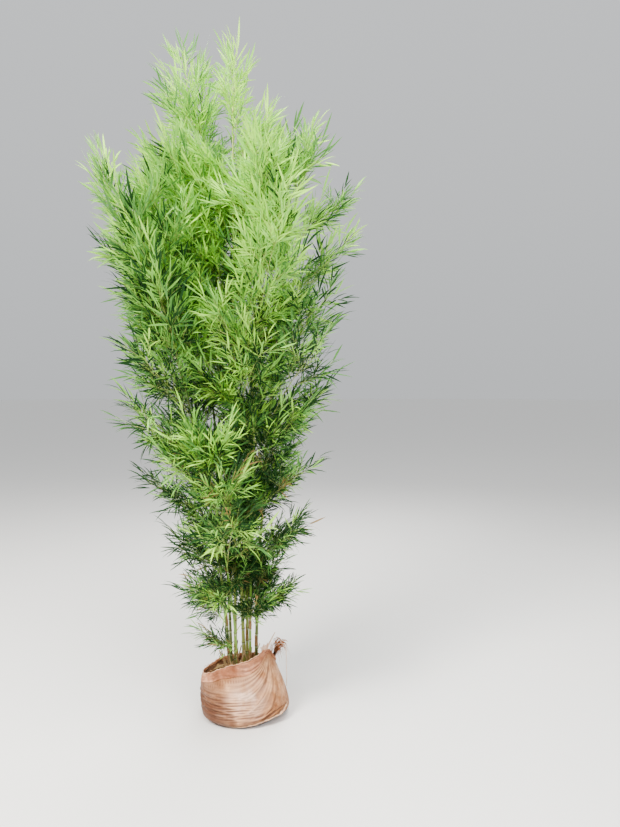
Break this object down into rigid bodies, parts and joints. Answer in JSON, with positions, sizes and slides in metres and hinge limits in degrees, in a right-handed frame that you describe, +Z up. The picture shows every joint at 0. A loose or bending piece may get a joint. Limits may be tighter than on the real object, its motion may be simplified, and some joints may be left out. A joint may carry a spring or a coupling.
{
  "type": "potted bamboo",
  "caption": "Tall leafy clump of slender bamboo culms growing from soil in a slumped woven grow bag, standing on the bag's flat underside.",
  "frame": {"origin": "centre of the grow bag's flat underside, on the surface it stands on", "axes": "+Z up along the culms; +X to the right and +Y away from the viewer when the bag is seen with its mouth sloping up to the right"},
  "size_m": [1.1901, 1.2302, 2.9974],
  "materials": {
    "woven_bag": "faded tan woven plastic cloth, slightly glossy, dusty, with a darker folded cuff",
    "soil": "dry crumbly soil with dead leaves and sheaths on it",
    "culm": "smooth yellow-green bamboo with pale rings at its joints and papery tan sheaths",
    "foliage": "narrow satin bamboo leaves in several greens, with a few dry ones"
  },
  "bodies": {
    "root": {"culm_back": "culm", "culm_back_left": "culm", "culm_green": "culm", "culm_left": "culm", "culm_main": "culm", "culm_right": "culm", "culm_tall": "culm", "culm_young": "culm", "foliage_back_1": "foliage", "foliage_back_2": "foliage", "foliage_back_3": "foliage", "foliage_back_4": "foliage", "foliage_back_5": "foliage", "foliage_back_left_1": "foliage", "foliage_back_left_2": "foliage", "foliage_back_left_3": "foliage", "foliage_back_left_4": "foliage", "foliage_back_left_5": "foliage", "foliage_back_left_tip": "foliage", "foliage_back_tip": "foliage", "foliage_green_1": "foliage", "foliage_green_2": "foliage", "foliage_green_3": "foliage", "foliage_green_4": "foliage", "foliage_green_5": "foliage", "foliage_green_tip": "foliage", "foliage_left_1": "foliage", "foliage_left_2": "foliage", "foliage_left_3": "foliage", "foliage_left_4": "foliage", "foliage_left_5": "foliage", "foliage_left_tip": "foliage", "foliage_main_1": "foliage", "foliage_main_2": "foliage", "foliage_main_3": "foliage", "foliage_main_4": "foliage", "foliage_main_5": "foliage", "foliage_main_tip": "foliage", "foliage_right_1": "foliage", "foliage_right_2": "foliage", "foliage_right_3": "foliage", "foliage_right_4": "foliage", "foliage_right_5": "foliage", "foliage_right_tip": "foliage", "foliage_tall_1": "foliage", "foliage_tall_2": "foliage", "foliage_tall_3": "foliage", "foliage_tall_4": "foliage", "foliage_tall_5": "foliage", "foliage_tall_tip": "foliage", "foliage_young_1": "foliage", "foliage_young_2": "foliage", "foliage_young_3": "foliage", "foliage_young_tip": "foliage", "grow_bag": "woven_bag", "soil": "soil"}
  },
  "joints": []
}
